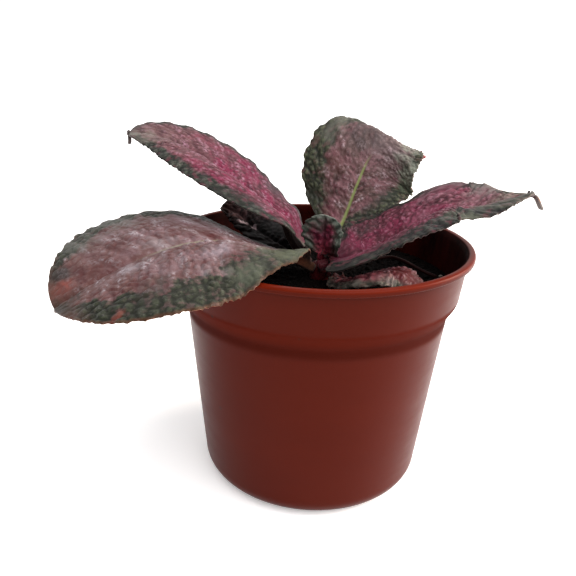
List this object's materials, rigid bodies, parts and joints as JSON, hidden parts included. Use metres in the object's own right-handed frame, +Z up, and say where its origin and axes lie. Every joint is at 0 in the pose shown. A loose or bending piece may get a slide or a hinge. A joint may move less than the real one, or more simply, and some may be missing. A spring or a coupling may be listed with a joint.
{
  "type": "potted flame violet",
  "caption": "Young flame violet with quilted pink and green leaves on a short stem, in a round tapered plastic nursery pot with a rolled lip.",
  "frame": {"origin": "centre of the pot's underside, on the pot's axis, on the surface that the pot stands on", "axes": "+Z up along the pot's axis, +X to the right as the plant is seen in the picture, where the leaves reach furthest, -Y to the front"},
  "size_m": [0.134, 0.1064, 0.1062],
  "materials": {
    "pot_plastic": "satin moulded plastic, terracotta red",
    "soil": "dark crumbly potting soil",
    "stem": "dark red hairy stem",
    "leaf": "velvety quilted leaf, pink centre and grey-green margin"
  },
  "bodies": {
    "root": {"pot": "pot_plastic", "soil": "soil", "stem": "stem", "runner": "stem", "leaf_front_left": "leaf", "leaf_back_left": "leaf", "leaf_back": "leaf", "leaf_right": "leaf", "leaf_low_left": "leaf", "leaf_low_right": "leaf", "leaf_young": "leaf"}
  },
  "joints": []
}
